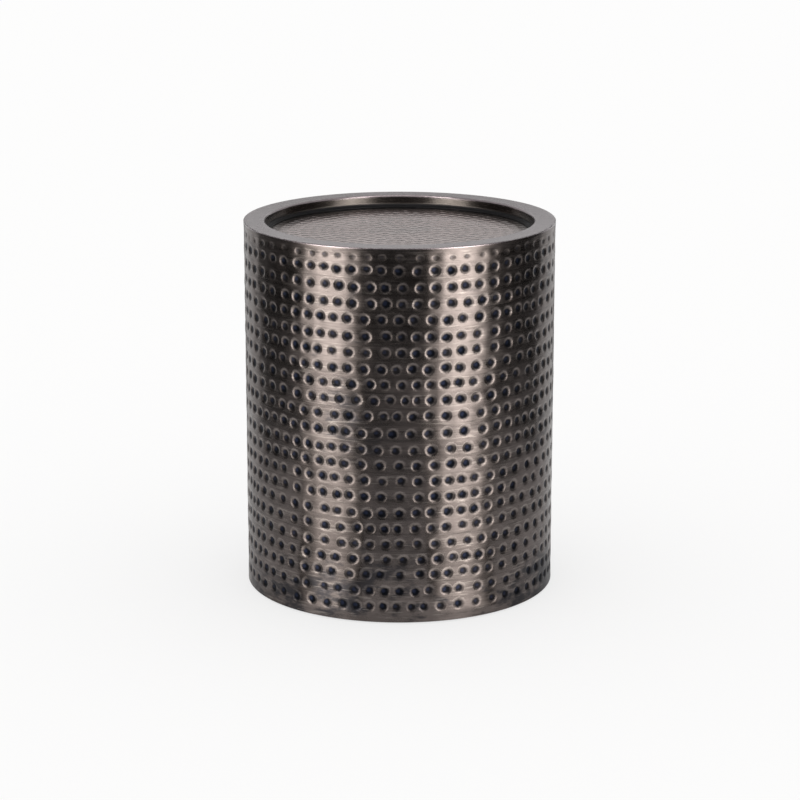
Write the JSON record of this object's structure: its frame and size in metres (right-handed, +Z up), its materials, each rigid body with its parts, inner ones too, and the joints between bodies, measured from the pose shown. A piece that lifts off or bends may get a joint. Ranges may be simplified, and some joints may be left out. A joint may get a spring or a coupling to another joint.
{
  "type": "drum side table",
  "caption": "Round hammered sheet-metal drum side table with a flat rim ring, a shallow recessed tray top and an open base on rubber glides.",
  "frame": {"origin": "on the floor, on the drum's axis, under the glides", "axes": "+Z up along the drum's axis; +Y towards the back, where the wall's butt seam is; the front faces -Y"},
  "size_m": [0.414, 0.414, 0.495],
  "materials": {
    "hammered_wall": "hammered in rows, brushed round the drum, antique nickel with dark pits",
    "rim_metal": "planished and brushed, antique nickel",
    "tray_metal": "lightly hammered, fine concentric tool marks, antique nickel",
    "weld_bead": "as welded, dulled by the same patina",
    "base_plate": "mill finish, dulled by the same patina",
    "glide_rubber": "matte black"
  },
  "bodies": {
    "root": {"drum_shell": "hammered_wall", "shell_seam_weld": "weld_bead", "rim_ring": "rim_metal", "rim_weld_stitches": "weld_bead", "tray_floor": "tray_metal", "tray_weld_stitches": "weld_bead", "base_ring": "base_plate", "base_weld_stitches": "weld_bead", "floor_glide_front": "glide_rubber", "floor_glide_back": "glide_rubber", "floor_glide_left": "glide_rubber", "floor_glide_right": "glide_rubber"}
  },
  "joints": []
}
